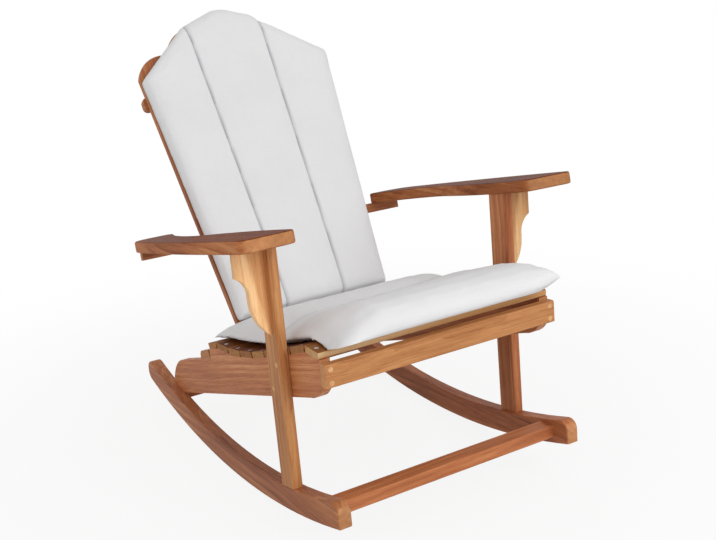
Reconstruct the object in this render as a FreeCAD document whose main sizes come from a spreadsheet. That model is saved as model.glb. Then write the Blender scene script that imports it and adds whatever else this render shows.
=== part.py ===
import FreeCAD, Part
import math
import os
import Sketcher

# A rocking adirondack chair with a loose seat cushion and back cushion.
# X is the chair's width, front is -Y, Z is up. Chair axes have their origin on the
# floor, midway between the rockers, where they touch it while the legs are plumb.
# At rest the chair rolls back by rest_lean_angle about the middle of the rocker arc.

Vector = FreeCAD.Vector

sizes = {
    # Rockers
    "rocker_radius": 1708,
    "rocker_height": 52,
    "rocker_thick": 29,
    "rocker_front": 439,
    "rocker_rear": 546,
    "rocker_front_round": 20,
    "rocker_rear_round": 24,
    "rest_lean_angle": 3.2,
    # Frame
    "frame_half_width": 270,
    "leg_thick": 22,
    "leg_depth": 53,
    "leg_front": 261,
    "skirt_thick": 22,
    "skirt_depth": 81.5,
    "skirt_slope_angle": 15.35,
    "skirt_level": 191,
    "skirt_tail": 417,
    "skirt_tail_round": 110,
    "skirt_tail_top": 350,
    "skirt_front_round": 62,
    "skirt_front_run": 47,
    "apron_front": 406.5,
    "apron_thick": 20,
    "apron_height": 45.5,
    "apron_gap": 5.5,
    "stretcher_front": 394,
    "stretcher_depth": 40,
    "stretcher_height": 27,
    "stretcher_level": 58.5,
    "rear_stretcher_front": 361,
    "rear_stretcher_height": 18,
    "edge_round": 3,
    "curved_edge_ease": 2,
    # Seat slats
    "seat_front": 383,
    "seat_height": 370.5,
    "seat_slat_width": 58,
    "front_slat_width": 49,
    "seat_slat_gap": 6,
    "seat_slat_thick": 13.5,
    "front_slat_slope_angle": -3,
    "seat_slope_one_angle": 18,
    "seat_slope_two_angle": 17.5,
    "seat_slope_three_angle": 17.5,
    "seat_slope_four_angle": 16,
    "seat_slope_five_angle": 12,
    "seat_slope_six_angle": 8,
    "seat_slope_seven_angle": 3,
    "last_slat_slope_angle": 15.4,
    "last_slat_clearance": 0.5,
    # Back
    "back_recline_angle": 28.5,
    "back_foot_depth": 165,
    "back_foot_height": 290.5,
    "back_slat_thick": 15,
    "back_slat_gap": 6,
    "back_foot_half_width": 187,
    "back_fan_slope_angle": 4.15,
    "back_slat_foot": 58,
    "outer_slat_shoulder": 640,
    "outer_slat_rise": 56,
    "outer_slat_top_radius": 78,
    "second_slat_step": 66,
    "second_slat_rise": 58,
    "second_slat_top_radius": 95,
    "centre_slat_step": 46,
    "centre_slat_top_radius": 75,
    "lower_rail_width": 60,
    "lower_rail_thick": 20.5,
    "lower_rail_round": 15,
    "batten_overhang": 9,
    "batten_level": 564,
    "batten_height": 34,
    "batten_thick": 18,
    "arm_rail_setback": 32,
    "arm_rail_height": 22.5,
    "arm_rail_thick": 14,
    # Arms and brackets
    "arm_slope_angle": 9.25,
    "arm_thick": 25,
    "arm_rear": 297,
    "arm_level": 480,
    "arm_length": 668,
    "arm_overhang": 90,
    "arm_width": 118,
    "arm_front_slant": 17,
    "arm_rear_inset": 12,
    "arm_outer_radius": 4850,
    "arm_waist_width": 74,
    "arm_waist": 238,
    "arm_nose_round": 23,
    "arm_tip_round": 23,
    "arm_heel_round": 60,
    "arm_bend_front_radius": 1300,
    "arm_bend_rear_radius": 330,
    "arm_tail_radius": 640,
    "arm_tail_round": 18,
    "arm_edge_round": 4,
    "bracket_setback": 31,
    "bracket_thick": 20,
    "bracket_lip_depth": 56,
    "bracket_lip_inset": 8,
    "bracket_lip_drop": 5,
    "bracket_hollow_width": 36,
    "bracket_hollow_depth": 100,
    "bracket_hollow_radius": 45,
    "bracket_swell_width": 34.5,
    "bracket_swell_depth": 121,
    "bracket_swell_radius": 100,
    "bracket_foot_depth": 179,
    # Fixings
    "plug_diameter": 10,
    "plug_length": 7,
    "apron_plug_inset": 9.5,
    "leg_plug_spread": 26,
    "leg_plug_low_rise": 19,
    "leg_plug_high_rise": 75,
    "dowel_diameter": 8,
    "dowel_length": 36,
    "dowel_spread": 26,
    "stretcher_dowel_spread": 20,
    "screw_diameter": 4.5,
    "screw_head_diameter": 9,
    "screw_head_depth": 2.5,
    "long_screw_length": 38,
    "screw_clearance": 1,
    "back_screw_length": 27,
    "back_screw_spread": 36,
    "arm_screw_inset": 57,
    "bracket_dowel_low": 100,
    "bracket_dowel_high": 30,
    # Cushions
    "cushion_clearance": 1,
    "seat_cushion_side_gap": 14,
    "seat_cushion_end_run": 9,
    "seat_cushion_shoulder_run": 31,
    "seat_cushion_end_inset": 15,
    "seat_cushion_shoulder_inset": 5,
    "seat_cushion_crown": 4,
    "seat_cushion_overhang": 58,
    "seat_cushion_nose_rise": 29,
    "seat_cushion_lip_overhang": 24,
    "seat_cushion_lip_rise": 7,
    "seat_cushion_crest_thick": 58,
    "seat_cushion_seam_thick": 52,
    "seat_cushion_rear_thick": 38,
    "seat_cushion_front_puff": 13,
    "seat_cushion_rear_puff": 9,
    "seat_cushion_nose_puff": 13,
    "seat_cushion_lip_puff": 6,
    "back_cushion_foot_gap": 3,
    "back_cushion_foot_width": 190,
    "back_cushion_foot_thick": 28,
    "back_cushion_foot_seam": 76,
    "back_cushion_low_rise": 38,
    "back_cushion_low_width": 205,
    "back_cushion_low_thick": 54,
    "back_cushion_low_seam": 80,
    "back_cushion_shoulder": 628,
    "back_cushion_shoulder_width": 247,
    "back_cushion_shoulder_thick": 54,
    "back_cushion_shoulder_seam": 98,
    "back_cushion_slant": 690,
    "back_cushion_slant_width": 190,
    "back_cushion_slant_thick": 50,
    "back_cushion_slant_seam": 92,
    "back_cushion_high": 752,
    "back_cushion_high_width": 108,
    "back_cushion_high_thick": 42,
    "back_cushion_high_seam": 70,
    "back_cushion_top": 786,
    "back_cushion_top_width": 48,
    "back_cushion_top_thick": 22,
    "back_cushion_top_seam": 26,
    "back_cushion_puff": 8,
    "back_cushion_side_puff": 8,
}

doc = FreeCAD.newDocument("rocking_chair")
sheet = doc.addObject("Spreadsheet::Sheet", "Sizes")
for row, (name, value) in enumerate(sizes.items(), start=1):
    sheet.set(f"A{row}", name)
    sheet.set(f"B{row}", str(value))
    sheet.setAlias(f"B{row}", name)
doc.recompute()


class Size:
    """A length or angle that knows its value and the sheet expression behind it."""

    def __init__(self, text, value):
        self.text = text
        self.value = value

    def combine(self, other, sign, value, swap=False):
        other_text = other.text if isinstance(other, Size) else repr(other)
        first, second = (other_text, self.text) if swap else (self.text, other_text)
        return Size(f"({first} {sign} {second})", value)

    def __add__(self, other):
        return self.combine(other, "+", self.value + number(other))

    def __radd__(self, other):
        return self.combine(other, "+", number(other) + self.value, swap=True)

    def __sub__(self, other):
        return self.combine(other, "-", self.value - number(other))

    def __rsub__(self, other):
        return self.combine(other, "-", number(other) - self.value, swap=True)

    def __mul__(self, other):
        return self.combine(other, "*", self.value * number(other))

    def __rmul__(self, other):
        return self.combine(other, "*", number(other) * self.value, swap=True)

    def __truediv__(self, other):
        return self.combine(other, "/", self.value / number(other))

    def __neg__(self):
        return Size(f"(0 - {self.text})", -self.value)


def number(size):
    return size.value if isinstance(size, Size) else float(size)


def text_of(size):
    return size.text if isinstance(size, Size) else repr(float(size))


def cell(name):
    return Size("Sizes." + name, float(sheet.get(name)))


def sine(angle):
    return Size(f"sin({angle.text})", math.sin(math.radians(angle.value)))


def cosine(angle):
    return Size(f"cos({angle.text})", math.cos(math.radians(angle.value)))


def tangent(angle):
    return Size(f"tan({angle.text})", math.tan(math.radians(angle.value)))


def root(size):
    return Size(f"sqrt({size.text})", math.sqrt(size.value))


def bind(thing, path, size):
    if isinstance(size, Size):
        thing.setExpression(path, size.text)


def new_body(name):
    body = doc.addObject("PartDesign::Body", name)
    body.Label = name
    return body


def new_sketch(body, role, offset):
    sketch = body.newObject("Sketcher::SketchObject", body.Name + "_sketch")
    plane = [item for item in body.Origin.OriginFeatures if item.Role == role][0]
    sketch.AttachmentSupport = [(plane, "")]
    sketch.MapMode = "FlatFace"
    sketch.AttachmentOffset = FreeCAD.Placement(Vector(0, 0, number(offset)), FreeCAD.Rotation())
    bind(sketch, "AttachmentOffset.Base.z", offset)
    return sketch


def arc_middle(start, end, radius, side):
    # side is 1 where the arc swells to the left of the way it is drawn, else -1
    chord = end - start
    sagitta = radius - math.sqrt(max(radius ** 2 - chord.Length ** 2 / 4, 0))
    left = Vector(-chord.y, chord.x, 0).normalize()
    return (start + end) * 0.5 + left * sagitta * side


def draw_outline(sketch, corners):
    """Draws a closed outline. Each corner is (across, up) or (across, up, radius, side),
    where the last two make the edge that leads to the next corner an arc."""
    points = [Vector(number(corner[0]), number(corner[1]), 0) for corner in corners]
    ends = []
    for index, corner in enumerate(corners):
        start = points[index]
        end = points[(index + 1) % len(points)]
        if len(corner) == 2:
            geometry = sketch.addGeometry(Part.LineSegment(start, end))
            ends.append((geometry, 1, 2))
            continue
        middle = arc_middle(start, end, number(corner[2]), corner[3])
        if corner[3] < 0:
            geometry = sketch.addGeometry(Part.Arc(start, middle, end))
            ends.append((geometry, 1, 2))
        else:
            geometry = sketch.addGeometry(Part.Arc(end, middle, start))
            ends.append((geometry, 2, 1))
    for index, corner in enumerate(corners):
        before = ends[index - 1]
        after = ends[index]
        sketch.addConstraint(Sketcher.Constraint("Coincident", before[0], before[2], after[0], after[1]))
        for kind, size in (("DistanceX", corner[0]), ("DistanceY", corner[1])):
            made = sketch.addConstraint(
                Sketcher.Constraint(kind, -1, 1, after[0], after[1], number(size)))
            bind(sketch, f"Constraints[{made}]", size)
        if len(corner) == 4:
            made = sketch.addConstraint(Sketcher.Constraint("Radius", after[0], number(corner[2])))
            bind(sketch, f"Constraints[{made}]", corner[2])


def pad(body, sketch, length, centred=False, backwards=False):
    feature = body.newObject("PartDesign::Pad", body.Name + "_pad")
    feature.Profile = sketch
    feature.Length = number(length)
    feature.Midplane = centred
    feature.Reversed = backwards
    bind(feature, "Length", length)
    doc.recompute()
    return feature


def round_edges(body, chosen, radius, name):
    shape = body.Tip.Shape
    picked = [f"Edge{index}" for index, edge in enumerate(shape.Edges, start=1) if chosen(edge)]
    fillet = body.newObject("PartDesign::Fillet", body.Name + "_" + name)
    fillet.Base = (body.Tip if body.Tip != fillet else fillet.BaseFeature, picked)
    fillet.Radius = number(radius)
    bind(fillet, "Radius", radius)
    doc.recompute()
    return fillet


def ease_edges(body, chosen, size, name="eased"):
    shape = body.Tip.Shape
    picked = [f"Edge{index}" for index, edge in enumerate(shape.Edges, start=1) if chosen(edge)]
    chamfer = body.newObject("PartDesign::Chamfer", body.Name + "_" + name)
    chamfer.Base = (body.Tip if body.Tip != chamfer else chamfer.BaseFeature, picked)
    chamfer.Size = number(size)
    bind(chamfer, "Size", size)
    doc.recompute()
    return chamfer


def runs_along(edge, axis):
    if edge.Curve.TypeId != "Part::GeomLine":
        return False
    way = edge.tangentAt(edge.FirstParameter)
    return abs(abs(way.dot(axis)) - 1) < 1e-6


def not_along(axis):
    return lambda edge: not runs_along(edge, axis)


def along_at(axis, places, reach=0.5):
    # picks edges that run along axis and pass through one of the given (a, b) places
    def chosen(edge):
        if not runs_along(edge, axis):
            return False
        point = edge.Vertexes[0].Point
        flat = [value for value, part in zip(point, axis) if abs(part) < 0.5]
        return any(abs(flat[0] - number(a)) < reach and abs(flat[1] - number(b)) < reach
                   for a, b in places)
    return chosen


ALONG_X = Vector(1, 0, 0)
ALONG_Y = Vector(0, 1, 0)
ALONG_Z = Vector(0, 0, 1)

rocker_radius = cell("rocker_radius")
lean = cell("rest_lean_angle")


def settle(piece, tilt=0.0, depth=0.0, height=0.0):
    """Places a piece: tilted back by tilt about X, its own origin at depth and height in
    chair axes, and the whole rolled back with the rockers to the rest position."""
    turn = -(lean + tilt)
    across = depth * cosine(lean) + (height - rocker_radius) * sine(lean)
    up = (height - rocker_radius) * cosine(lean) - depth * sine(lean) + rocker_radius
    piece.Placement = FreeCAD.Placement(
        Vector(0, number(across), number(up)), FreeCAD.Rotation(ALONG_X, number(turn)))
    bind(piece, "Placement.Base.y", across)
    bind(piece, "Placement.Base.z", up)
    bind(piece, "Placement.Rotation.Angle", turn)


def board_across(name, corners, length, tilt=0.0, depth=0.0, height=0.0):
    # A board that runs across the chair, drawn by its section
    body = new_body(name)
    sketch = new_sketch(body, "YZ_Plane", 0.0)
    draw_outline(sketch, corners)
    pad(body, sketch, length, centred=True)
    settle(body, tilt, depth, height)
    return body


def board_upright(name, corners, inside, thick, side):
    # A board that stands along the chair on one side, drawn by its side view
    body = new_body(name)
    start = inside if side > 0 else -(inside + thick)
    sketch = new_sketch(body, "YZ_Plane", start)
    draw_outline(sketch, corners)
    pad(body, sketch, thick)
    settle(body)
    return body


# Lines that several pieces share

frame_half = cell("frame_half_width")
leg_thick = cell("leg_thick")
rocker_thick = cell("rocker_thick")
rocker_top_radius = rocker_radius - cell("rocker_height")
rocker_inside = frame_half + leg_thick - rocker_thick
arm_slope = cell("arm_slope_angle")
arm_rear = cell("arm_rear")
arm_level = cell("arm_level")
arm_outside = frame_half + leg_thick + cell("arm_overhang")
skirt_slope = cell("skirt_slope_angle")
recline = cell("back_recline_angle")
foot_depth = cell("back_foot_depth")
foot_height = cell("back_foot_height")
slat_thick = cell("seat_slat_thick")
back_thick = cell("back_slat_thick")
seat_gap = cell("seat_slat_gap")
clearance = cell("cushion_clearance")


def arc_height(depth, radius):
    # height at a given depth of an arc about the rockers' common middle
    return rocker_radius - root(radius * radius - depth * depth)


def rocker_top(depth):
    return arc_height(depth, rocker_top_radius)


def arm_underside(depth):
    return arm_level + (arm_rear - depth) * tangent(arm_slope)


# The seat line is the skirts' top edge, one straight run under each slat

seat_runs = [("front_seat_slat", "front_slat_slope_angle", "front_slat_width")]
for count in ("one", "two", "three", "four", "five", "six", "seven"):
    seat_runs.append(("seat_slat_" + count, "seat_slope_" + count + "_angle", "seat_slat_width"))

seat_line = [(-cell("seat_front"), cell("seat_height"))]
for index, (name, slope_name, width_name) in enumerate(seat_runs):
    run = cell(width_name) + (seat_gap / 2 if index == 0 else seat_gap)
    slope = cell(slope_name)
    last = seat_line[-1]
    seat_line.append((last[0] + run * cosine(slope), last[1] - run * sine(slope)))

# Rockers


def make_rocker(name, side):
    front = -cell("rocker_front")
    rear = cell("rocker_rear")
    bottom_front = arc_height(front, rocker_radius)
    bottom_rear = arc_height(rear, rocker_radius)
    top_front = rocker_top(front)
    top_rear = rocker_top(rear)
    corners = [
        (front, bottom_front, rocker_radius, -1),
        (rear, bottom_rear),
        (rear, top_rear, rocker_top_radius, 1),
        (front, top_front),
    ]
    body = board_upright(name, corners, rocker_inside, rocker_thick, side)
    round_edges(body, along_at(ALONG_X, [(front, top_front)]), cell("rocker_front_round"), "front_round")
    rear_places = [(rear, top_rear), (rear, bottom_rear)]
    round_edges(body, along_at(ALONG_X, rear_places), cell("rocker_rear_round"), "rear_round")
    ease_edges(body, not_along(ALONG_X), cell("curved_edge_ease"))
    return body


rockers = {"left": make_rocker("rocker_left", 1), "right": make_rocker("rocker_right", -1)}

# Front legs


def make_leg(name, side):
    front = -cell("leg_front")
    rear = front + cell("leg_depth")
    corners = [
        (front, rocker_top(front), rocker_top_radius, -1),
        (rear, rocker_top(rear)),
        (rear, arm_underside(rear)),
        (front, arm_underside(front)),
    ]
    body = board_upright(name, corners, frame_half, leg_thick, side)
    round_edges(body, lambda edge: runs_along(edge, ALONG_Z), cell("edge_round"), "eased")
    return body


legs = {"left": make_leg("front_leg_left", 1), "right": make_leg("front_leg_right", -1)}

# Skirts, which carry the seat slats, and the apron over their front ends

skirt_line = cell("skirt_level")
skirt_top_line = skirt_line + cell("skirt_depth") / cosine(skirt_slope)


def skirt_bottom(depth):
    return skirt_line - depth * tangent(skirt_slope)


def skirt_top(depth):
    return skirt_top_line - depth * tangent(skirt_slope)


def skirt_meets_rocker():
    slant = tangent(skirt_slope)
    drop = rocker_radius - skirt_line
    scale = 1 + slant * slant
    inside = slant * slant * drop * drop - scale * (drop * drop - rocker_top_radius * rocker_top_radius)
    return (root(inside) - slant * drop) / scale


def rail_seat():
    # where the back slats' rear faces meet the skirts' rear top line
    rise = cosine(recline) / sine(recline)
    start = foot_height - back_thick / sine(recline) - foot_depth * rise
    depth = (skirt_top_line - start) / (rise + tangent(skirt_slope))
    return depth, skirt_top(depth)


apron_back = cell("apron_thick") - cell("apron_front")
apron_top = seat_line[0][1] - cell("apron_gap")
apron_foot = apron_top - cell("apron_height")
rail_depth, rail_level = rail_seat()


last_slope = cell("last_slat_slope_angle")
last_start, last_level = seat_line[-1]
seat_line.append((rail_depth, last_level - (rail_depth - last_start) * tangent(last_slope)))


def make_skirt(name, side):
    contact = skirt_meets_rocker()
    tail = cell("skirt_tail")
    front_run = apron_back + cell("skirt_front_run")
    tail_top = cell("skirt_tail_top")
    corners = [
        (apron_back, apron_foot, cell("skirt_front_round"), -1),
        (front_run, skirt_bottom(front_run)),
        (contact, skirt_bottom(contact), rocker_top_radius, -1),
        (tail, rocker_top(tail), cell("skirt_tail_round"), -1),
        (tail_top, skirt_top(tail_top)),
        (rail_depth, rail_level),
    ]
    corners += [point for point in reversed(seat_line)]
    corners.append((apron_back, seat_line[0][1]))
    skirt_thick = cell("skirt_thick")
    return board_upright(name, corners, frame_half - skirt_thick, skirt_thick, side)


skirts = {"left": make_skirt("side_rail_left", 1), "right": make_skirt("side_rail_right", -1)}


def box_section(depth, width, foot, height):
    return [(depth, foot), (depth + width, foot), (depth + width, foot + height), (depth, foot + height)]


def ease_along_x(body, radius=None):
    round_edges(body, lambda edge: runs_along(edge, ALONG_X), radius or cell("edge_round"), "eased")


apron = board_across(
    "front_apron",
    box_section(-cell("apron_front"), cell("apron_thick"), apron_foot, cell("apron_height")),
    frame_half * 2)
ease_along_x(apron)

# Stretchers between the rockers

stretcher = board_across(
    "front_stretcher",
    box_section(-cell("stretcher_front"), cell("stretcher_depth"),
                cell("stretcher_level"), cell("stretcher_height")),
    rocker_inside * 2)
ease_along_x(stretcher)

rear_stretcher_top = rocker_top(cell("rear_stretcher_front"))
rear_stretcher = board_across(
    "rear_stretcher",
    box_section(cell("rear_stretcher_front"), cell("stretcher_depth"),
                rear_stretcher_top - cell("rear_stretcher_height"), cell("rear_stretcher_height")),
    rocker_inside * 2)
ease_along_x(rear_stretcher)

# Seat slats

seat_slats = []
for index, (name, slope_name, width_name) in enumerate(seat_runs):
    slope = cell(slope_name)
    start = 0.0 if index == 0 else seat_gap / 2
    section = box_section(start, cell(width_name), 0.0, slat_thick)
    slat = board_across(name, section, frame_half * 2, slope, *seat_line[index])
    ease_along_x(slat)
    seat_slats.append(slat)

# The last seat slat ends just in front of the back slats and leans with them

back_slant = tangent(recline)
last_reach = (foot_depth - last_start + (last_level - foot_height) * back_slant
              ) / (cosine(last_slope) + sine(last_slope) * back_slant)
last_width = last_reach - cell("last_slat_clearance") / cosine(recline - last_slope)
last_slat = board_across(
    "rear_seat_slat",
    [(seat_gap / 2, 0.0), (last_width, 0.0),
     (last_width + slat_thick * tangent(recline - last_slope), slat_thick), (seat_gap / 2, slat_thick)],
    frame_half * 2, last_slope, last_start, last_level)
ease_along_x(last_slat, cell("edge_round") * 0.8)
seat_slats.append(last_slat)

# The lower back rail lies on the skirts behind the back slats

rail_width = cell("lower_rail_width")
rail_thick = cell("lower_rail_thick")
rail_lean = rail_thick / cosine(recline - skirt_slope)
rail_corners = [
    (rail_depth, rail_level),
    (rail_depth + rail_width * cosine(skirt_slope), rail_level - rail_width * sine(skirt_slope)),
    (rail_depth + rail_width * cosine(skirt_slope) + rail_thick * sine(skirt_slope),
     rail_level - rail_width * sine(skirt_slope) + rail_thick * cosine(skirt_slope)),
    (rail_depth + rail_lean * sine(recline), rail_level + rail_lean * cosine(recline)),
]
lower_rail = board_across("lower_back_rail", rail_corners, frame_half * 2)
round_edges(lower_rail, along_at(ALONG_X, [rail_corners[2]]), cell("lower_rail_round"), "rear_round")

# Back slats fan out from the seat, each with a rounded top

fan = tangent(cell("back_fan_slope_angle"))
back_gap = cell("back_slat_gap")
slat_foot = -cell("back_slat_foot")
slats_in_back = 5


def fan_half_width(rise):
    return cell("back_foot_half_width") + rise * fan


def back_slat_width(rise):
    return (fan_half_width(rise) * 2 - back_gap * (slats_in_back - 1)) / slats_in_back


def back_slat_edge(place, rise, side):
    # place counts slats from the middle one, side is the slat's own edge
    width = back_slat_width(rise)
    return (width + back_gap) * place + width * (side / 2)


def make_back_slat(name, place, shoulder, rise, arc):
    body = new_body(name)
    sketch = new_sketch(body, "XZ_Plane", 0.0)
    outer = 1 if place >= 0 else -1
    inner_top = shoulder + rise
    corners = [
        (back_slat_edge(place, slat_foot, -1), slat_foot),
        (back_slat_edge(place, slat_foot, 1), slat_foot),
    ]
    if outer > 0:
        corners.append((back_slat_edge(place, shoulder, 1), shoulder, arc, -1))
        corners.append((back_slat_edge(place, inner_top, -1), inner_top))
    else:
        corners.append((back_slat_edge(place, inner_top, 1), inner_top, arc, -1))
        corners.append((back_slat_edge(place, shoulder, -1), shoulder))
    draw_outline(sketch, corners)
    pad(body, sketch, back_thick, backwards=True)
    ease_edges(body, not_along(ALONG_Y), cell("curved_edge_ease"))
    settle(body, recline, foot_depth, foot_height)
    return body


outer_shoulder = cell("outer_slat_shoulder")
second_shoulder = outer_shoulder + cell("second_slat_step")
centre_shoulder = second_shoulder + cell("centre_slat_step")
outer_top = (outer_shoulder, cell("outer_slat_rise"), cell("outer_slat_top_radius"))
second_top = (second_shoulder, cell("second_slat_rise"), cell("second_slat_top_radius"))
centre_top = (centre_shoulder, 0.0, cell("centre_slat_top_radius"))
back_slats = [
    make_back_slat("back_slat_outer_right", -2, *outer_top),
    make_back_slat("back_slat_second_right", -1, *second_top),
    make_back_slat("back_slat_centre", 0, *centre_top),
    make_back_slat("back_slat_second_left", 1, *second_top),
    make_back_slat("back_slat_outer_left", 2, *outer_top),
]

# Upper back batten, behind the slats

batten = new_body("upper_back_batten")
batten_sketch = new_sketch(batten, "XZ_Plane", -back_thick)
batten_foot = cell("batten_level")
batten_head = batten_foot + cell("batten_height")
batten_half = fan_half_width(batten_foot) + cell("batten_overhang")
draw_outline(batten_sketch, [
    (-batten_half, batten_foot),
    (batten_half, batten_foot),
    (batten_half, batten_head),
    (-batten_half, batten_head),
])
pad(batten, batten_sketch, cell("batten_thick"), backwards=True)
round_edges(batten, lambda edge: runs_along(edge, ALONG_Y), cell("batten_height") / 3, "end_round")
round_edges(batten, not_along(ALONG_Y), cell("edge_round"), "eased")
settle(batten, recline, foot_depth, foot_height)

# Arm rail, square under the arms, its top front edge against the back slats

slat_rear_start = foot_depth * cosine(recline) - foot_height * sine(recline) + back_thick
arm_line_start = (arm_level + arm_rear * tangent(arm_slope)) * sine(recline)
arm_rail_depth = (slat_rear_start + arm_line_start) / (
    cosine(recline) + tangent(arm_slope) * sine(recline))
arm_rail = board_across(
    "arm_rail",
    [(0.0, -cell("arm_rail_height")), (cell("arm_rail_thick"), -cell("arm_rail_height")),
     (cell("arm_rail_thick"), 0.0), (0.0, 0.0)],
    (arm_outside - cell("arm_rail_setback")) * 2, arm_slope, arm_rail_depth, arm_underside(arm_rail_depth))

# Arms


def place_on_side(corners, side):
    # mirrors an outline drawn for the +X side on to the given side
    placed = []
    for corner in corners:
        flipped = (corner[0] * side, corner[1])
        if len(corner) == 4:
            flipped += (corner[2], corner[3] * side)
        placed.append(flipped)
    return placed


def make_arm(name, side):
    # the outer edge bows a little and the front end slants; the inner edge bends out to
    # the waist in two arcs, then draws in again to the rear
    body = new_body(name)
    sketch = new_sketch(body, "XY_Plane", 0.0)
    front = -cell("arm_length")
    outside = arm_outside
    inside = outside - cell("arm_width")
    inside_front = front + cell("arm_front_slant")
    rear_outside = outside - cell("arm_rear_inset")
    waist = outside - cell("arm_waist_width")
    bend_front = cell("arm_bend_front_radius")
    bend_rear = cell("arm_bend_rear_radius")
    tail_radius = cell("arm_tail_radius")
    waist_place = -cell("arm_waist")
    turn_cosine = 1 - (waist - inside) / (bend_front + bend_rear)
    turn_sine = root(1 - turn_cosine * turn_cosine)
    bend_start = waist_place - (bend_front + bend_rear) * turn_sine
    tail = waist - tail_radius + root(tail_radius * tail_radius - waist_place * waist_place)
    corners = [
        (rear_outside, 0.0, cell("arm_outer_radius"), 1),
        (outside, front),
        (inside, inside_front),
        (inside, bend_start, bend_front, 1),
        (waist - bend_rear * (1 - turn_cosine), waist_place - bend_rear * turn_sine, bend_rear, -1),
        (waist, waist_place, tail_radius, -1),
        (tail, 0.0),
    ]
    draw_outline(sketch, place_on_side(corners, side))
    pad(body, sketch, cell("arm_thick"))
    for place, round_name in (((outside, front), "nose"), ((inside, inside_front), "tip"),
                              ((rear_outside, 0.0), "heel"), ((tail, 0.0), "tail")):
        corner = (place[0] * side, place[1])
        round_edges(body, along_at(ALONG_Z, [corner]), cell(f"arm_{round_name}_round"), round_name)
    round_edges(body, not_along(ALONG_Z), cell("arm_edge_round"), "eased")
    settle(body, arm_slope, arm_rear, arm_level)
    return body


arms = {"left": make_arm("arm_left", 1), "right": make_arm("arm_right", -1)}

# Brackets that carry the arms on the legs

leg_middle = cell("leg_depth") / 2 - cell("leg_front")
bracket_front = leg_middle - cell("bracket_thick") / 2


def make_bracket(name, side):
    body = new_body(name)
    sketch = new_sketch(body, "XZ_Plane", -bracket_front)
    inside = frame_half + leg_thick
    outside = arm_outside - cell("bracket_setback")
    top = arm_underside(bracket_front)
    lip = top - cell("bracket_lip_depth")
    corners = [
        (inside, top),
        (outside, top),
        (outside, lip),
        (outside - cell("bracket_lip_inset"), lip - cell("bracket_lip_drop"),
         cell("bracket_hollow_radius"), -1),
        (inside + cell("bracket_hollow_width"), top - cell("bracket_hollow_depth")),
        (inside + cell("bracket_swell_width"), top - cell("bracket_swell_depth"),
         cell("bracket_swell_radius"), 1),
        (inside, top - cell("bracket_foot_depth")),
    ]
    draw_outline(sketch, place_on_side(corners, side))
    pad(body, sketch, cell("bracket_thick"), backwards=True)
    ease_edges(body, lambda edge: not_along(ALONG_Y)(edge) and not runs_along(edge, ALONG_X)
               and edge.CenterOfMass.x * side > number(inside) + 0.5, cell("edge_round") / 2)
    settle(body)
    return body


bracket_boards = {"left": make_bracket("arm_bracket_left", 1),
                  "right": make_bracket("arm_bracket_right", -1)}


def cut_piece(name, board, tools):
    # takes the tools out of a board, which hands its name on to what is left
    board.Label = name + " board"
    kept = board
    for count, tool in enumerate(tools, start=1):
        cut = doc.addObject("Part::Cut", f"{name}_cut_{count}")
        cut.Base = kept
        cut.Tool = tool
        kept = cut
    kept.Label = name
    pieces[name] = kept
    return kept


pieces = {}

# Fixings. Each kind is made once, standing on its head, with its top at its own origin

plug = doc.addObject("Part::Cylinder", "Plug")
bind(plug, "Radius", cell("plug_diameter") / 2)
bind(plug, "Height", cell("plug_length"))
dowel = doc.addObject("Part::Cylinder", "Dowel")
bind(dowel, "Radius", cell("dowel_diameter") / 2)
bind(dowel, "Height", cell("dowel_length"))
plug.Placement.Base.z = -number(cell("plug_length"))
bind(plug, "Placement.Base.z", -cell("plug_length"))
bind(dowel, "Placement.Base.z", -cell("dowel_length") / 2)


def make_screw(name, length):
    shank = doc.addObject("Part::Cylinder", name + "_shank")
    bind(shank, "Radius", cell("screw_diameter") / 2)
    bind(shank, "Height", length)
    bind(shank, "Placement.Base.z", -length)
    head = doc.addObject("Part::Cone", name + "_head")
    bind(head, "Radius1", cell("screw_diameter") / 2)
    bind(head, "Radius2", cell("screw_head_diameter") / 2)
    bind(head, "Height", cell("screw_head_depth"))
    bind(head, "Placement.Base.z", -cell("screw_head_depth"))
    screw = doc.addObject("Part::MultiFuse", name)
    screw.Shapes = [shank, head]
    return screw


long_screw = make_screw("Long_screw", cell("long_screw_length"))
# the leg screws end in the skirts, just short of the seat slats' screws
leg_screw_reach = leg_thick + cell("skirt_thick") / 2 - cell("screw_diameter") / 2 - cell("screw_clearance")
leg_screw = make_screw("Leg_screw", leg_screw_reach - cell("plug_length"))
back_screw = make_screw("Back_screw", cell("back_screw_length"))

DOWNWARD = ("1; 0; 0", Vector(1, 0, 0), 0.0)
UPWARD = ("1; 0; 0", Vector(1, 0, 0), 180.0)
REARWARD = ("1; 0; 0", Vector(1, 0, 0), 90.0)
INWARD = {1: ("0; 1; 0", Vector(0, 1, 0), 90.0), -1: ("0; 1; 0", Vector(0, 1, 0), -90.0)}


def fix(group, kind, host, across, depth, height, way):
    """Sets one fixing in a host piece, at a place in the host's own axes. The way is the
    one in which its tip points."""
    link = doc.addObject("App::Link", group + "_item")
    link.LinkedObject = kind
    link.LinkTransform = True
    axis_text, axis, angle = way
    turn = text_of(angle)
    place = f"vector({text_of(across)}; {text_of(depth)}; {text_of(height)})"
    link.setExpression(
        "Placement",
        f"{host.Name}.Placement * placement({place}; rotation(vector({axis_text}); {turn}))")
    groups.setdefault(group, []).append(link)


groups = {}
leg_outside = frame_half + leg_thick
skirt_middle = frame_half - cell("skirt_thick") / 2
plug_length = cell("plug_length")

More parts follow.
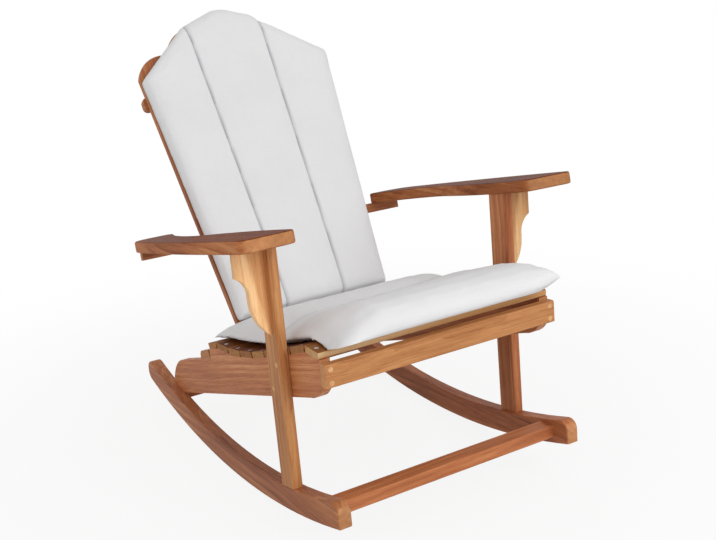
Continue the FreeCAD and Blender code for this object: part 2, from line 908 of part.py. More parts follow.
for side, way in INWARD.items():
    name = "left" if side > 0 else "right"
    leg = legs[name]
    plug_step = cell("leg_plug_spread") / 2
    for depth, rise in ((leg_middle - plug_step, "leg_plug_high_rise"),
                        (leg_middle + plug_step, "leg_plug_low_rise")):
        place = (depth, skirt_bottom(leg_middle) + cell(rise))
        fix("leg_plugs", plug, leg, leg_outside * side, *place, way)
        fix("frame_screws", leg_screw, leg, (leg_outside - plug_length) * side, *place, way)
    for level in (apron_foot + cell("apron_plug_inset"), apron_top - cell("apron_plug_inset")):
        front = -cell("apron_front")
        fix("apron_plugs", plug, apron, skirt_middle * side, front, level, REARWARD)
        fix("frame_screws", long_screw, apron, skirt_middle * side, front + plug_length, level, REARWARD)
    rail_half = rail_width / 2
    rail_place = (
        rail_depth + rail_half * cosine(skirt_slope) + rail_thick * sine(skirt_slope),
        rail_level - rail_half * sine(skirt_slope) + rail_thick * cosine(skirt_slope))
    down_rail = ("1; 0; 0", Vector(1, 0, 0), -skirt_slope)
    fix("frame_screws", long_screw, lower_rail, skirt_middle * side, *rail_place, down_rail)
    fix("frame_screws", long_screw, arm_rail, (arm_outside - cell("arm_screw_inset")) * side,
        cell("arm_rail_thick") / 2, -cell("arm_rail_height"), UPWARD)
    fix("frame_screws", long_screw, rear_stretcher, skirt_middle * side,
        cell("rear_stretcher_front") + cell("stretcher_depth") / 2,
        rear_stretcher_top - cell("rear_stretcher_height"), UPWARD)
    for index, slat in enumerate(seat_slats):
        width = last_width + seat_gap / 2 if slat is last_slat else cell(seat_runs[index][2])
        middle = width / 2 if slat is last_slat or index == 0 else (width + seat_gap) / 2
        fix("seat_slat_screws", long_screw, slat, skirt_middle * side, middle, slat_thick, DOWNWARD)
    leg_centre = frame_half + leg_thick / 2
    for spread in (cell("dowel_spread") / -2, cell("dowel_spread") / 2):
        depth = leg_middle + spread
        fix("frame_dowels", dowel, leg, leg_centre * side, depth, arm_underside(depth), DOWNWARD)
        fix("frame_dowels", dowel, leg, leg_centre * side, depth, rocker_top(depth), DOWNWARD)
    for level in (cell("bracket_dowel_low"), cell("bracket_dowel_high")):
        fix("frame_dowels", dowel, leg, leg_outside * side, leg_middle,
            arm_underside(leg_middle) - level, way)
    for spread in (cell("stretcher_dowel_spread") / -2, cell("stretcher_dowel_spread") / 2):
        half = cell("stretcher_depth") / 2
        fix("frame_dowels", dowel, stretcher, rocker_inside * side,
            half - cell("stretcher_front") + spread,
            cell("stretcher_level") + cell("stretcher_height") / 2, way)
        fix("frame_dowels", dowel, rear_stretcher, rocker_inside * side,
            half + cell("rear_stretcher_front") + spread,
            rear_stretcher_top - cell("rear_stretcher_height") / 2, way)

# Screws through the back slats into the lower rail, the arm rail and the batten

rail_foot_rise = (rail_level - foot_height + back_thick * sine(recline)) / cosine(recline)
lower_screw_rise = rail_foot_rise + rail_lean / 2
arm_screw_rise = (arm_underside(arm_rail_depth) - foot_height + back_thick * sine(recline)
                  ) / cosine(recline) - cell("arm_rail_height") / 3
batten_rise = batten_foot + cell("batten_height") / 2
for place, slat in zip((-2, -1, 0, 1, 2), back_slats):
    for rise, spread in ((lower_screw_rise, -0.5), (lower_screw_rise, 0.5), (arm_screw_rise, 0.0),
                         (batten_rise, -0.5), (batten_rise, 0.5)):
        centre = (back_slat_width(rise) + back_gap) * place
        fix("back_slat_screws", back_screw, slat, centre + cell("back_screw_spread") * spread,
            0.0, rise, REARWARD)

for name, links in groups.items():
    group = doc.addObject("Part::Compound", name)
    group.Label = name
    group.Links = links
    pieces[name] = group
doc.recompute()

frame_screws = pieces["frame_screws"]
frame_dowels = pieces["frame_dowels"]
seat_screws = pieces["seat_slat_screws"]
back_screws = pieces["back_slat_screws"]

for side in ("left", "right"):
    cut_piece("rocker_" + side, rockers[side], [frame_dowels])
    cut_piece("front_leg_" + side, legs[side], [pieces["leg_plugs"], frame_screws, frame_dowels])
    cut_piece("side_rail_" + side, skirts[side], [frame_screws, seat_screws])
    cut_piece("arm_" + side, arms[side], [frame_screws, frame_dowels])
    cut_piece("arm_bracket_" + side, bracket_boards[side], [arms[side], frame_dowels])
cut_piece("front_apron", apron, [pieces["apron_plugs"], frame_screws])
cut_piece("front_stretcher", stretcher, [frame_dowels])
cut_piece("rear_stretcher", rear_stretcher, [frame_screws, frame_dowels])
cut_piece("lower_back_rail", lower_rail, [frame_screws, back_screws])
cut_piece("upper_back_batten", batten, [back_screws])
cut_piece("arm_rail", arm_rail, [frame_screws, back_screws])
for slat in seat_slats:
    cut_piece(slat.Label, slat, [seat_screws])
for slat in back_slats:
    cut_piece(slat.Label, slat, [back_screws])

# Cushions. Both are lofts through sections drawn with lines and shallow arcs


def arc_radius(start, end, rise):
    across = end[0] - start[0]
    up = end[1] - start[1]
    return (across * across + up * up) / (rise * 8) + rise / 2


def loft(body, sketches):
    feature = body.newObject("PartDesign::AdditiveLoft", body.Name + "_loft")
    feature.Profile = sketches[0]
    feature.Sections = sketches[1:]
    feature.Ruled = True
    feature.Closed = False
    doc.recompute()
    return feature


def arcs_and_lines(points, rises):
    # rises gives each edge its swell to the left, or None for a straight edge
    corners = []
    for index, point in enumerate(points):
        rise = rises[index]
        if rise is None:
            corners.append(point)
            continue
        following = points[(index + 1) % len(points)]
        corners.append((point[0], point[1], arc_radius(point, following, rise), 1))
    return corners


seat_surface = slat_thick + clearance


def over_seat(index, slope_index=None):
    # a point just clear of the seat slats' tops, over a corner of the seat line
    slope = cell(seat_runs[index if slope_index is None else slope_index][1])
    return (seat_line[index][0] + seat_surface * sine(slope),
            seat_line[index][1] + seat_surface * cosine(slope))


# the seat cushion ends against the back slats, where it is a named height
rear_slope = cell("seat_slope_seven_angle")
rear_start = over_seat(7)
slats_front = foot_depth - clearance / cosine(recline)
rear_reach = (slats_front + (rear_start[1] + rear_start[0] * tangent(rear_slope) - foot_height) * back_slant
              ) / (tangent(rear_slope) * back_slant + 1)
rear_foot = (rear_reach, rear_start[1] - (rear_reach - rear_start[0]) * tangent(rear_slope))
rear_height = cell("seat_cushion_rear_thick")
rear_head = (rear_foot[0] + rear_height * back_slant, rear_foot[1] + rear_height)


def seat_section(inset, crown):
    half_inset = inset / 2
    crest_corner = seat_line[1]
    front = seat_line[0][0]
    top = seat_line[0][1] + slat_thick
    points = [
        (rear_head[0] - inset, rear_head[1] - inset),
        (rear_foot[0] - inset, rear_foot[1] + inset),
        (over_seat(6)[0], over_seat(6)[1] + inset),
        (over_seat(4)[0], over_seat(4)[1] + inset),
        (over_seat(2)[0], over_seat(2)[1] + inset),
        (crest_corner[0], crest_corner[1] + seat_surface / cosine(cell("seat_slope_one_angle")) + inset),
        (front + half_inset - cell("seat_cushion_lip_overhang"), top + cell("seat_cushion_lip_rise") + inset),
        (front + inset - cell("seat_cushion_overhang"), top + cell("seat_cushion_nose_rise")),
        (front + half_inset, top + cell("seat_cushion_crest_thick") - inset + crown),
        (over_seat(5)[0], over_seat(5)[1] + cell("seat_cushion_seam_thick") - inset),
    ]
    rises = [None, None, None, None, None, None, cell("seat_cushion_lip_puff"),
             cell("seat_cushion_nose_puff"), cell("seat_cushion_front_puff") + crown,
             cell("seat_cushion_rear_puff") + crown]
    return arcs_and_lines(points, rises)


seat_cushion = new_body("seat_cushion")
cushion_half = frame_half - cell("seat_cushion_side_gap")
cushion_shoulder = cushion_half - cell("seat_cushion_end_run")
cushion_full = cushion_shoulder - cell("seat_cushion_shoulder_run")
end_inset = cell("seat_cushion_end_inset")
shoulder_inset = cell("seat_cushion_shoulder_inset")
no_inset = 0.0
seat_sections = []
for offset, inset, crown in (
        (-cushion_half, end_inset, no_inset), (-cushion_shoulder, shoulder_inset, no_inset),
        (-cushion_full, no_inset, no_inset), (no_inset, no_inset, cell("seat_cushion_crown")),
        (cushion_full, no_inset, no_inset), (cushion_shoulder, shoulder_inset, no_inset),
        (cushion_half, end_inset, no_inset)):
    section = new_sketch(seat_cushion, "YZ_Plane", offset)
    draw_outline(section, seat_section(inset, crown))
    seat_sections.append(section)
loft(seat_cushion, seat_sections)
settle(seat_cushion)
pieces["seat_cushion"] = seat_cushion

back_cushion = new_body("back_cushion")
back_sections = []
cushion_foot = (rear_head[1] - foot_height) / cosine(recline) + cell("back_cushion_foot_gap")
cushion_low = cushion_foot + cell("back_cushion_low_rise")
for level, place in (("foot", cushion_foot), ("low", cushion_low), ("shoulder", None),
                     ("slant", None), ("high", None), ("top", None)):
    prefix = "back_cushion_" + level
    section = new_sketch(back_cushion, "XY_Plane", place or cell(prefix))
    half = cell(prefix + "_width")
    seam = cell(prefix + "_seam")
    front = -cell(prefix + "_thick")
    rear = -clearance
    points = [(half, rear), (-half, rear), (-half, front), (-seam, front), (seam, front), (half, front)]
    puff = cell("back_cushion_puff")
    side_puff = cell("back_cushion_side_puff")
    swells = [None, side_puff, puff, puff, puff, side_puff]
    corners = []
    for index, point in enumerate(points):
        if swells[index] is None:
            corners.append(point)
            continue
        following = points[(index + 1) % len(points)]
        corners.append((point[0], point[1], arc_radius(point, following, swells[index]), -1))
    draw_outline(section, corners)
    back_sections.append(section)
loft(back_cushion, back_sections)
settle(back_cushion, recline, foot_depth, foot_height)
pieces["back_cushion"] = back_cushion

# Every piece is sound before anything is written

doc.recompute()
failed = [item.Name for item in doc.Objects if {"Invalid", "Error"} & set(item.State)]
for name, piece in pieces.items():
    if piece.Shape.isNull() or not piece.Shape.isValid() or not piece.Shape.Solids:
        failed.append(name)
if failed:
    raise RuntimeError("pieces that failed: " + ", ".join(failed))

os.makedirs("parts", exist_ok=True)
for name, piece in pieces.items():
    piece.Shape.exportStep(f"parts/{name}.step")
    box = piece.Shape.BoundBox
    print(f"{name}: {len(piece.Shape.Solids)} solids, {piece.Shape.Volume / 1000:.1f} cm3,",
          f"x {box.XMin:.1f} to {box.XMax:.1f}, y {box.YMin:.1f} to {box.YMax:.1f},",
          f"z {box.ZMin:.1f} to {box.ZMax:.1f}")
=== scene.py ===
import bpy
import bmesh
import math
import random
from mathutils import Matrix, Vector, noise


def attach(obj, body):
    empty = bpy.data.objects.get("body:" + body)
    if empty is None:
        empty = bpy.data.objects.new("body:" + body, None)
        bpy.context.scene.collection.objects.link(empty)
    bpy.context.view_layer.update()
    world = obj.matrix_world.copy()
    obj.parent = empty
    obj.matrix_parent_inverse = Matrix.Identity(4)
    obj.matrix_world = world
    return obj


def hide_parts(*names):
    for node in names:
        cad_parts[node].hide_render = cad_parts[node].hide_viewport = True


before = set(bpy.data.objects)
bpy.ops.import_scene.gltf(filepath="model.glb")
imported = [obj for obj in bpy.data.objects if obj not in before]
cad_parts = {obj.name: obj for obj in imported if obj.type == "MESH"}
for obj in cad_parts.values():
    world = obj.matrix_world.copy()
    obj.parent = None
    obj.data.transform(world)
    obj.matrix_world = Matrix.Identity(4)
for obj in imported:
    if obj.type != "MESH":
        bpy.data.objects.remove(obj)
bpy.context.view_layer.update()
print("frame loaded:", len(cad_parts), "nodes")

# The chair rolls back on its rockers by this angle where it comes to rest. Places below are given for the
# upright chair, in metres, and rolled back with it
rest = {"lean": 3.2, "rockerRadius": 1.708}
rollBack = (Matrix.Translation((0, 0, rest["rockerRadius"]))
            @ Matrix.Rotation(-math.radians(rest["lean"]), 4, "X")
            @ Matrix.Translation((0, 0, -rest["rockerRadius"])))
stand = rollBack.inverted()

up = Vector((0, 0, 1))
across = Vector((1, 0, 0))
back = Vector((0, 1, 0))


# Camera, at the photograph's angle

cameraView = {
    "place": (-1.09644, -1.99935, 1.0095),
    "yaw": 29.826, "pitch": 14.740, "roll": -5.274,
    "lens": 53.01, "sensor": 36, "farthest": 50,
}


def addCamera(view):
    yaw, pitch, roll = (math.radians(view[name]) for name in ("yaw", "pitch", "roll"))
    ahead = Vector((math.sin(yaw) * math.cos(pitch), math.cos(yaw) * math.cos(pitch), -math.sin(pitch)))
    level = Vector((math.cos(yaw), -math.sin(yaw), 0))
    above = level.cross(ahead)
    right = level * math.cos(roll) + above * math.sin(roll)
    top = above * math.cos(roll) - level * math.sin(roll)
    turn = Matrix((right, top, -ahead)).transposed().to_4x4()
    camera = bpy.data.objects.new("camera", bpy.data.cameras.new("camera"))
    camera.data.lens = view["lens"]
    camera.data.sensor_width = view["sensor"]
    camera.data.clip_end = view["farthest"]
    camera.matrix_world = rollBack @ Matrix.Translation(view["place"]) @ turn
    bpy.context.scene.collection.objects.link(camera)
    bpy.context.scene.camera = camera


addCamera(cameraView)
print("camera set")


# A wire is one output socket of a shader node, and sums are written as plain Python on wires

class Wire:
    def __init__(self, tree, socket=None):
        self.tree = tree
        self.socket = socket

    def add(self, kind, settings=None, sockets=None, output=0):
        node = self.tree.nodes.new(kind)
        for name, value in (settings or {}).items():
            if name == "stops":
                while len(node.color_ramp.elements) < len(value):
                    node.color_ramp.elements.new(1.0)
                for stop, (place, colour) in zip(node.color_ramp.elements, value):
                    stop.position = place
                    stop.color = colour
            else:
                setattr(node, name, value)
        for name, value in (sockets or {}).items():
            if isinstance(value, Wire):
                self.tree.links.new(value.socket, node.inputs[name])
            else:
                node.inputs[name].default_value = value
        return Wire(self.tree, node.outputs[output] if len(node.outputs) else None)

    def sum(self, operation, *parts):
        return self.add("ShaderNodeMath", {"operation": operation}, dict(enumerate(parts)))

    def vector(self, operation, *parts, output=0):
        return self.add("ShaderNodeVectorMath", {"operation": operation}, dict(enumerate(parts)), output)

    def __add__(self, other):
        return self.sum("ADD", self, other)

    def __sub__(self, other):
        return self.sum("SUBTRACT", self, other)

    def __mul__(self, other):
        return self.sum("MULTIPLY", self, other)

    def __radd__(self, other):
        return self.sum("ADD", other, self)

    def __rsub__(self, other):
        return self.sum("SUBTRACT", other, self)

    def __rmul__(self, other):
        return self.sum("MULTIPLY", other, self)

    def larger(self, other):
        return self.sum("MAXIMUM", self, other)

    def unsigned(self):
        return self.sum("ABSOLUTE", self)

    def dot(self, direction):
        return self.vector("DOT_PRODUCT", self, tuple(direction), output="Value")

    def stretched(self, *scale):
        return self.vector("MULTIPLY", self, scale)

    def swayed(self, sway, reach):
        return self.vector("MULTIPLY_ADD", sway, reach, self)

    def step(self, start, end):   # a soft step from 0 at start to 1 at end
        return self.add("ShaderNodeMapRange", {"interpolation_type": "SMOOTHSTEP"},
                        {"Value": self, "From Min": start, "From Max": end})

    def noise(self, detail=3.0, roughness=0.55, output=0):   # output 1 is the noise as a colour
        return self.add("ShaderNodeTexNoise", {},
                        {"Vector": self, "Scale": 1.0, "Detail": detail, "Roughness": roughness}, output)

    def colours(self, stops):
        return self.add("ShaderNodeValToRGB", {"stops": stops}, {0: self})

    def blend(self, colour, share, mode="MIX"):
        return self.add("ShaderNodeMix", {"data_type": "RGBA", "blend_type": mode},
                        {0: share, 6: self, 7: colour}, 2)

    def coordinate(self, kind="Object"):
        return self.add("ShaderNodeTexCoord", {}, {}, kind)

    def bump(self, height, strength, distance, onto=None):
        sockets = {"Strength": strength, "Distance": distance, "Height": height}
        if onto:
            sockets["Normal"] = onto
        return self.add("ShaderNodeBump", {}, sockets)


def paint(red, green, blue, shade=1.0):
    return tuple(shade * (level / 255) ** 2.2 for level in (red, green, blue)) + (1.0,)


def shaded(colour, shade):
    return tuple(shade * part for part in colour[:3]) + (1.0,)


def newMaterial(name):
    material = bpy.data.materials.new(name)
    material.use_nodes = True
    material.node_tree.nodes.clear()
    return material, Wire(material.node_tree)


def finishMaterial(start, sockets):
    shader = start.add("ShaderNodeBsdfPrincipled", {}, sockets)
    start.add("ShaderNodeOutputMaterial", {}, {"Surface": shader})


# Floor, world and lamps

studio = {
    "floor": 12.0, "floorTone": 0.7, "clearFrom": 0.5, "clearTo": 1.7, "clearNear": 0.88,
    "ambient": 0.63,
    "keyPower": 58, "keySize": 2.4, "keyPlace": (0.8, -3.4, 2.3),
    "fillPower": 12, "fillSize": 2.6, "fillPlace": (-2.8, -1.6, 1.8),
    "aim": (0, -0.05, 0.45),
}
white = (1, 1, 1, 1)


def addLamp(name, power, size, place):
    lamp = bpy.data.objects.new(name, bpy.data.lights.new(name, "AREA"))
    lamp.data.energy = power
    lamp.data.size = size
    lamp.location = place
    lamp.rotation_euler = (Vector(studio["aim"]) - Vector(place)).to_track_quat("-Z", "Y").to_euler()
    bpy.context.scene.collection.objects.link(lamp)


def seenDirectly(start):
    camera = start.add("ShaderNodeLightPath", {}, {}, "Is Camera Ray")
    glossy = start.add("ShaderNodeLightPath", {}, {}, "Is Glossy Ray")
    through = start.add("ShaderNodeLightPath", {}, {}, "Is Transmission Ray")
    return camera.larger(glossy).larger(through)


def addWorld():
    world = bpy.data.worlds.new("studio")
    bpy.context.scene.world = world
    world.use_nodes = True
    world.node_tree.nodes.clear()
    start = Wire(world.node_tree)
    level = start.add("ShaderNodeMix", {}, {0: seenDirectly(start), 2: studio["ambient"], 3: 1.0})
    sky = start.add("ShaderNodeBackground", {}, {"Color": white, "Strength": level})
    start.add("ShaderNodeOutputWorld", {}, {"Surface": sky})


# The floor is pale under the chair and clears to the white of the background around it
def floorFinish():
    material, start = newMaterial("floorFinish")
    reach = start.vector("LENGTH", start.coordinate(), output="Value")
    clear = reach.step(studio["clearFrom"], studio["clearTo"])
    share = (studio["clearNear"] + (1 - studio["clearNear"]) * clear) * seenDirectly(start)
    matt = start.add("ShaderNodeBsdfPrincipled", {},
                     {"Base Color": (studio["floorTone"],) * 3 + (1,), "Roughness": 0.95,
                      "Specular IOR Level": 0.0})
    bright = start.add("ShaderNodeEmission", {}, {"Color": white, "Strength": 1.0})
    mixed = start.add("ShaderNodeMixShader", {}, {0: share, 1: matt, 2: bright})
    start.add("ShaderNodeOutputMaterial", {}, {"Surface": mixed})
    return material


def addFloor():
    mesh = bpy.data.meshes.new("floor")
    build = bmesh.new()
    bmesh.ops.create_grid(build, x_segments=1, y_segments=1, size=studio["floor"])
    build.to_mesh(mesh)
    build.free()
    mesh.materials.append(floorFinish())
    floor = bpy.data.objects.new("floor", mesh)
    bpy.context.scene.collection.objects.link(floor)


addLamp("keyLamp", studio["keyPower"], studio["keySize"], studio["keyPlace"])
addLamp("fillLamp", studio["fillPower"], studio["fillSize"], studio["fillPlace"])
addWorld()
addFloor()
bpy.context.scene.view_settings.view_transform = "Standard"
print("studio set")


# Wood: every board has its own piece of the same oiled timber, with the grain along it

timber = {
    "red": [(0.0, paint(108, 57, 34)), (0.35, paint(158, 93, 58)),
            (0.65, paint(181, 112, 71)), (1.0, paint(210, 146, 98))],
    "amber": [(0.0, paint(130, 76, 42)), (0.35, paint(176, 116, 70)),
              (0.65, paint(198, 138, 88)), (1.0, paint(222, 168, 114))],
    "pale": [(0.0, paint(180, 124, 78)), (0.35, paint(218, 166, 112)),
             (0.65, paint(232, 186, 134)), (1.0, paint(242, 208, 160))],
    # the second colour on the next line is paler end grain together with a painted highlight
    "poreTone": (150, 100, 70), "endGrainAndHighlightTone": (208, 158, 110),
    # of the next two colours, the first darkens a band on the brackets and the second is painted shade for
    # the tops of the arms and seat slats
    "bandTone": (222, 204, 190), "topShadeTone": (162, 130, 90),
    # each board's place in the log, out from its heart
    "offsets": ((-3, 3), (0.13, 0.25), (0.05, 0.11)),
    # scales of the noises along the grain, across it and through the board
    "streaks": (3.5, 120, 120), "fibres": (14, 620, 620), "pores": (45, 1500, 1500),
    "drift": (1.6, 7, 7), "patches": (2.4, 13, 13), "rings": (0.15, 1, 1),
    "driftReach": 0.045, "ringScale": 22, "ringDistortion": 2.5,
    # how much each noise says in the colour, around a middle value
    "streakShare": 1.15, "fibreShare": 0.5, "patchShare": 1.1, "ringShare": 0.22, "middle": 0.52,
    "poreShare": 0.4, "endGrainAndHighlightShare": 0.38,
    "poreStep": (0.62, 0.72), "endStep": (0.6, 0.9), "topShadeStep": (0.5, 0.9),
    # roughness and relief, and how much each noise adds to them
    "roughness": 0.52, "fibreRough": 0.2, "poreRough": 0.15, "endRough": 0.12,
    "relief": 0.25, "reliefDepth": 0.0006, "fibreRelief": 0.5, "streakRelief": 0.5, "poreRelief": 0.8,
    "gloss": 0.25, "dullGloss": 0.06,
}

slope = {"skirt": 15.35, "arm": 9.25, "recline": 28.5, "fan": 4.15}


def downSlope(angle):   # along a board that falls towards the rear
    return Vector((0, math.cos(math.radians(angle)), -math.sin(math.radians(angle))))


def backSlat(fan):      # along a back slat that leans outwards by fan, and out of its face
    lean = (Matrix.Rotation(-math.radians(slope["recline"]), 3, "X")
            @ Matrix.Rotation(math.radians(fan), 3, "Y"))
    return lean @ up, lean @ -back


backFace = backSlat(0)[1]
# The shade on each board sets its tone and also carries painted light: the boards of a mirrored pair, the
# stretchers and the seat slats are made lighter or darker to stand in for how light and shadow fall on them
boards = {   # node: along the grain, out of the wide face, timber, shade
    "rocker_left": (back, across, "red", 1.08),
    "rocker_right": (back, across, "red", 0.9),
    "front_leg_left": (up, across, "red", 1.02),
    "front_leg_right": (up, across, "amber", 1.03),
    "side_rail_left": (downSlope(slope["skirt"]), across, "red", 1.05),
    "side_rail_right": (downSlope(slope["skirt"]), across, "red", 1.07),
    "front_apron": (across, back, "amber", 1.04),
    "front_stretcher": (across, back, "red", 1.18),
    "rear_stretcher": (across, back, "red", 1.0),
    "arm_left": (downSlope(slope["arm"]), up, "red", 0.86),
    "arm_right": (downSlope(slope["arm"]), up, "red", 1.0),
    "arm_bracket_left": (up, back, "pale", 1.0),
    "arm_bracket_right": (up, back, "pale", 1.28),
    "arm_rail": (across, up, "red", 0.95),
    "lower_back_rail": (across, backFace, "red", 0.95),
    "upper_back_batten": (across, backFace, "red", 0.95),
    "front_seat_slat": (across, up, "pale", 0.82),
    "rear_seat_slat": (across, up, "amber", 0.8),
    "back_slat_centre": backSlat(0) + ("amber", 0.92),
    "back_slat_second_left": backSlat(slope["fan"] / 2) + ("red", 1.0),
    "back_slat_second_right": backSlat(-slope["fan"] / 2) + ("amber", 0.9),
    "back_slat_outer_left": backSlat(slope["fan"]) + ("amber", 0.95),
    "back_slat_outer_right": backSlat(-slope["fan"]) + ("red", 0.95),
    "apron_plugs": (back, across, "pale", 1.0),
    "leg_plugs": (across, up, "pale", 0.95),
    "frame_dowels": (across, up, "pale", 0.95),
}
# the seat slats are darkened as painted shade, standing in for the shadow under the cushion, and their
# shades also vary from slat to slat
slatTimbers = ("amber", "red", "amber")
slatPaintedShades = (0.70, 0.78, 0.66, 0.80)
for index, count in enumerate(("one", "two", "three", "four", "five", "six", "seven")):
    boards["seat_slat_" + count] = (across, up, slatTimbers[index % 3], slatPaintedShades[index % 4])

# Each bracket has a darker band near the leg, which leans to the outside at its top
bracketBand = {
    "across": {"arm_bracket_left": (-1.0, 0, 0.2), "arm_bracket_right": (1.0, 0, 0.2)},
    "from": -0.216, "to": -0.150, "fromRun": 0.012, "toRun": 0.02, "waver": 0.03,
}


def woodFinish(node, grain, face, tone, shade, seed):
    material, start = newMaterial("wood_" + node)
    roll = rollBack.to_3x3()
    grain = roll @ grain
    face = roll @ face
    turn = Matrix((grain, face.cross(grain), face)).to_euler()
    chance = random.Random(seed)
    offset = [chance.uniform(*reach) for reach in timber["offsets"]]
    # placed has the board's length on X, its width on Y and its thickness on Z
    placed = start.add("ShaderNodeMapping", {},
                       {"Vector": start.coordinate(), "Rotation": turn, "Location": offset})
    drift = placed.swayed(placed.stretched(*timber["drift"]).noise(2.0, 0.5, 1),
                          (0.0, timber["driftReach"], timber["driftReach"]))
    rings = start.add("ShaderNodeTexWave",
                      {"wave_type": "RINGS", "rings_direction": "X", "wave_profile": "SAW"},
                      {"Vector": drift.stretched(*timber["rings"]), "Scale": timber["ringScale"],
                       "Distortion": timber["ringDistortion"], "Detail": 2.0, "Detail Scale": 1.5}, 1)
    streaks = drift.stretched(*timber["streaks"]).noise(4.0, 0.62)
    fibres = drift.stretched(*timber["fibres"]).noise(2.0, 0.6)
    patches = placed.stretched(*timber["patches"]).noise(2.0, 0.5)
    pores = placed.stretched(*timber["pores"]).noise(1.0, 0.5).step(*timber["poreStep"])
    value = ((streaks - 0.5) * timber["streakShare"] + (fibres - 0.5) * timber["fibreShare"]
             + (patches - 0.5) * timber["patchShare"] + (rings - 0.5) * timber["ringShare"]
             + timber["middle"])
    colour = value.colours([(place, shaded(tint, shade)) for place, tint in timber[tone]])
    # the sawn ends show paler, open grain, made paler still as a painted highlight where the light catches
    # them
    facing = start.coordinate("Normal")
    ends = facing.dot(grain).unsigned().step(*timber["endStep"])
    colour = colour.blend(paint(*timber["poreTone"]), pores * timber["poreShare"], "MULTIPLY")
    colour = colour.blend(paint(*timber["endGrainAndHighlightTone"], shade), ends * timber["endGrainAndHighlightShare"])
    # each bracket gets its darker band here
    if node in bracketBand["across"]:
        place = start.coordinate().dot(bracketBand["across"][node]) + (patches - 0.5) * bracketBand["waver"]
        band = (place.step(bracketBand["from"], bracketBand["from"] + bracketBand["fromRun"])
                * (1 - place.step(bracketBand["to"], bracketBand["to"] + bracketBand["toRun"])))
        colour = colour.blend(paint(*timber["bandTone"]), band, "MULTIPLY")
    # the tops of the arms and seat slats are darkened as painted shade, standing in for the shadow of the
    # cushion and arms and for less light from above, and have a duller oil
    shadedTops = node in ("arm_left", "arm_right") or "seat_slat" in node
    if shadedTops:
        over = facing.dot(roll @ up).step(*timber["topShadeStep"])
        colour = colour.blend(paint(*timber["topShadeTone"]), over, "MULTIPLY")
    relief = (fibres * timber["fibreRelief"] + streaks * timber["streakRelief"]
              - pores * timber["poreRelief"])
    finishMaterial(start, {
        "Base Color": colour, "Normal": start.bump(relief, timber["relief"], timber["reliefDepth"]),
        "Roughness": (timber["roughness"] + (0.5 - fibres) * timber["fibreRough"]
                      + pores * timber["poreRough"] + ends * timber["endRough"]),
        "Specular IOR Level": timber["dullGloss" if shadedTops else "gloss"],
    })
    return material


steel = {
    "scratches": (900, 900, 60), "dark": (150, 150, 148), "light": (200, 200, 198),
    "roughness": 0.3, "scratchRough": 0.2, "relief": 0.15, "reliefDepth": 0.0002,
    "nodes": ("seat_slat_screws", "back_slat_screws", "frame_screws"),
}


def steelFinish():
    material, start = newMaterial("brushedSteel")
    scratches = start.coordinate().stretched(*steel["scratches"]).noise(2.0, 0.6)
    finishMaterial(start, {
        "Base Color": scratches.colours([(0.3, paint(*steel["dark"])), (0.7, paint(*steel["light"]))]),
        "Metallic": 1.0, "Roughness": steel["roughness"] + scratches * steel["scratchRough"],
        "Normal": start.bump(scratches, steel["relief"], steel["reliefDepth"]),
    })
    return material


def dress(node, material):
    for slot in bpy.data.objects[node].material_slots:
        slot.material = material


for seed, (node, board) in enumerate(sorted(boards.items())):
    dress(node, woodFinish(node, *board, seed))
brushedSteel = steelFinish()
for node in steel["nodes"]:
    dress(node, brushedSteel)
print("boards oiled:", len(boards))


# Cloth of the two cushions: a plain weave with soft unevenness and stitched channels

cloth = {
    # the second colour is a grey for the painted shade along the sewn channels
    "colour": (233, 233, 234), "seamShadeTone": (176, 178, 184), "cloudShade": 0.94,
    "thread": 0.0011, "waveLength": 0.314,   # a wave texture of scale 1 repeats at this distance
    "wander": 40, "wanderReach": 0.0006, "slubLong": 30, "slubThin": 400,
    "clouds": 9, "creases": (22, 14, 22),
    "cloudShare": 0.5, "slubShare": 0.25, "slubRelief": 0.3, "weaveRough": 0.08,
    "weaveRelief": 0.35, "weaveDepth": 0.0003, "creaseRelief": 0.35, "creaseDepth": 0.004,
    "roughness": 0.9, "gloss": 0.2, "sheen": 0.12, "sheenRoughness": 0.5,
}


